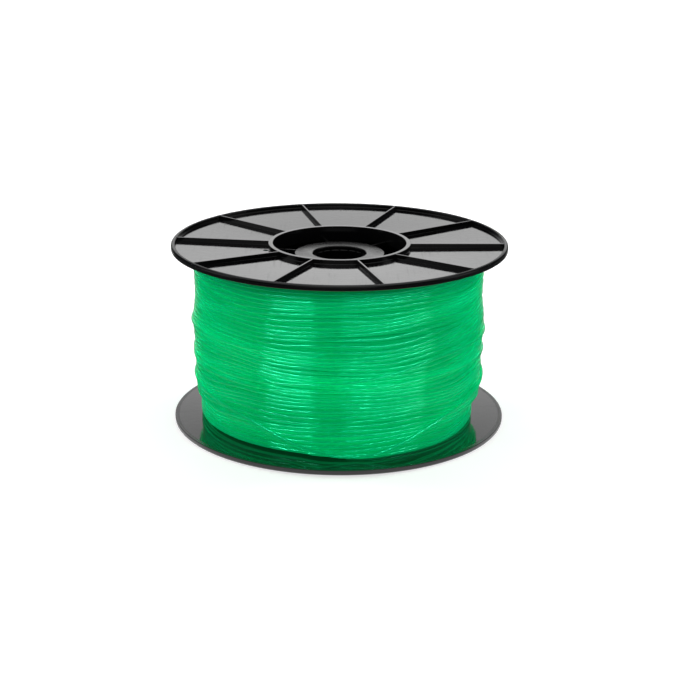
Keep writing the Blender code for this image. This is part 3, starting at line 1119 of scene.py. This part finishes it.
# Painted pools of light, which only glossy surfaces see.
front = spread(tree, distance_from(tree, FRONT_PAINTED_POOL_CENTRE), *FRONT_PAINTED_POOL)
back = spread(tree, distance_from(tree, BACK_PAINTED_POOL_CENTRE), *BACK_PAINTED_POOL)
painted_light_pools = combined(tree, "MULTIPLY", combined(tree, "ADD", front, back), outside_painted_shadow)
painted_pools_in_gloss = add_node(tree, "ShaderNodeEmission", [("Strength", painted_light_pools)])
finish = add_node(
    tree,
    "ShaderNodeMixShader",
    [(0, seen_in_gloss(tree, rays)), (1, shader.outputs[0]), (2, painted_pools_in_gloss.outputs[0])],
)
tree.links.new(finish.outputs[0], tree.nodes["Material Output"].inputs["Surface"])
floor.data.materials.append(paper)
print("floor:", [round(side, 2) for side in floor.dimensions], "m")

# %% [markdown]
# ## The white room
#
# The room round the spool is white for the camera, and lights matte surfaces evenly and weakly.
# A black moulding shows only what it mirrors, so the room that glossy surfaces see decides how
# it looks. An image of a studio could be used. Here a few panels are enough, and each can be
# tuned by itself: one behind the spool, one at either side and a weak one in front, all
# brightest a little above the horizon, and one overhead. PANELS holds directions in degrees
# from the back, and how bright the room is there. Each of the other lists holds two strengths,
# and the heights of view where one begins to run into the other and ends: 0 is level, and 1 is
# straight up.

# %% World
PANELS = [
    (14, 1.0),
    (32, 0.0),
    (70, 0.0),
    (80, 0.4),
    (100, 0.4),
    (110, 0.0),
    (145, 0.0),
    (160, 0.25),
]
PANEL_FOOT = (0.2, 1.0, 0.10, 0.19)
PANEL_TOP = (1.85, 0.4, 0.22, 0.5)
OVERHEAD = (0.02, 0.9, 0.55, 0.95)
AMBIENT = 0.15

world = bpy.data.worlds.new("white_room")
bpy.context.scene.world = world
world.use_nodes = True
tree = world.node_tree
tree.nodes.clear()
direction = add_node(tree, "ShaderNodeTexCoord").outputs["Generated"]
parts = add_node(tree, "ShaderNodeSeparateXYZ", [("Vector", direction)]).outputs
turn = combined(tree, "ABSOLUTE", combined(tree, "ARCTAN2", parts["X"], parts["Y"]))
half_circle = spread(tree, turn, start=0.0, end=math.pi)
around = add_node(tree, "ShaderNodeValToRGB", [("Fac", half_circle)])
ramp = around.color_ramp
for degrees, share in PANELS[2:]:
    ramp.elements.new(degrees / 180)
for element, (degrees, share) in zip(ramp.elements, PANELS):
    element.position = degrees / 180
    element.color = (share, share, share, 1.0)

panels = combined(
    tree, "MULTIPLY", around.outputs["Color"], spread(tree, parts["Z"], *PANEL_FOOT)
)
room = combined(
    tree,
    "MULTIPLY_ADD",
    panels,
    spread(tree, parts["Z"], *PANEL_TOP),
    spread(tree, parts["Z"], *OVERHEAD),
)
ambient = add_node(tree, "ShaderNodeBackground")
ambient.inputs["Color"].default_value = (0.98, 0.99, 1.0, 1.0)
ambient.inputs["Strength"].default_value = AMBIENT
mirrored = add_node(tree, "ShaderNodeBackground", [("Strength", room)])
backdrop = add_node(tree, "ShaderNodeBackground")
backdrop.inputs["Color"].default_value = (1.0, 1.0, 1.0, 1.0)
backdrop.inputs["Strength"].default_value = 1.0

rays = add_node(tree, "ShaderNodeLightPath")
lit_or_mirrored = add_node(
    tree,
    "ShaderNodeMixShader",
    [(0, seen_in_gloss(tree, rays)), (1, ambient.outputs[0]), (2, mirrored.outputs[0])],
)
surround = add_node(
    tree,
    "ShaderNodeMixShader",
    [
        (0, rays.outputs["Is Camera Ray"]),
        (1, lit_or_mirrored.outputs[0]),
        (2, backdrop.outputs[0]),
    ],
)
add_node(tree, "ShaderNodeOutputWorld", [("Surface", surround.outputs[0])])
print("panels:", [(round(180 * e.position), round(e.color[0], 2)) for e in ramp.elements])

# %% [markdown]
# ## The lamps
#
# Two long strip lamps, left and right of the camera, give the strands their two bands of fine
# highlights. They could be panels of the room, but the flanges would mirror them too. As lamps
# they show as reflections only, and by light linking on the outer layer of filament only. The
# other lamps are large and weak and light matte colour only: three in front, one on top, and
# one at either side behind the spool, which brightens the edges of the winding as light through
# it would.

# %% Lamps
LAMPS = [
    ("left_strip", (-0.83, -1.00, 0.75), (0.95, 0.40), 104.0, "mirrored"),
    ("right_strip", (0.79, -1.03, 0.75), (1.90, 0.42), 145.0, "mirrored"),
    ("front_left_light", (-0.90, -0.85, 0.85), (0.8, 0.8), 2.5, "matte"),
    ("front_right_light", (0.90, -0.85, 0.85), (0.8, 0.8), 2.5, "matte"),
    ("front_light", (0.0, -1.30, 0.45), (1.2, 0.8), 0.8, "matte"),
    ("top_light", (0.0, 0.25, 1.3), (0.9, 0.9), 4.0, "matte"),
    ("back_left_light", (-1.1, 0.6, 0.4), (0.6, 0.6), 18.0, "matte"),
    ("back_right_light", (1.1, 0.6, 0.4), (0.6, 0.6), 18.0, "matte"),
]
wound = bpy.data.collections.new("wound")
wound.objects.link(outer_layer)

for name, spot, size, power, use in LAMPS:
    aim = (CAMERA_TARGET - Vector(spot)).to_track_quat("-Z", "Y").to_euler()
    bpy.ops.object.light_add(type="AREA", location=spot, rotation=aim)
    lamp = bpy.context.object
    lamp.name = name
    lamp.data.shape = "ELLIPSE" if use == "mirrored" else "RECTANGLE"
    lamp.data.size, lamp.data.size_y = size
    lamp.data.energy = power
    lamp.visible_camera = False
    lamp.visible_glossy = use == "mirrored"
    lamp.visible_diffuse = use == "matte"
    lamp.visible_transmission = use == "matte"
    if use == "mirrored":
        lamp.light_linking.receiver_collection = wound
print(len(LAMPS), "lamps,", round(sum(lamp[3] for lamp in LAMPS), 1), "W")

# %% [markdown]
# ## Finish
#
# The render shows its colours with the Standard view transform.

# %% Finish
scene = bpy.context.scene
scene.view_settings.view_transform = "Standard"
